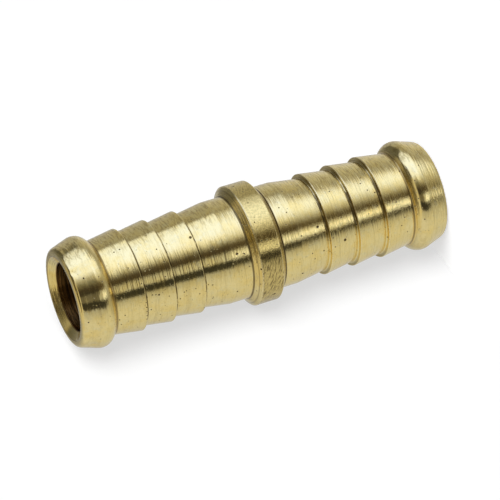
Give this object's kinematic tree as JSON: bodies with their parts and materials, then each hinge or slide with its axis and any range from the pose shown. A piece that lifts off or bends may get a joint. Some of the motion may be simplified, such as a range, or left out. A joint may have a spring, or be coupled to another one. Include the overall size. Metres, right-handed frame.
{
  "type": "hose joiner",
  "caption": "Straight brass hose joiner: a turned tube with a chamfered collar in the middle and a barbed tail ending in a rounded bead each way.",
  "frame": {"origin": "centre of the lower end face, on the axis of the bore", "axes": "+Z along the bore, up; the part stands on its lower end face; X and Y are any two directions across the bore"},
  "size_m": [0.014, 0.014, 0.045],
  "materials": {
    "brass": "as turned, bright, with a rough bar surface on the collar rim"
  },
  "bodies": {
    "root": {"hose_joiner": "brass"}
  },
  "joints": []
}
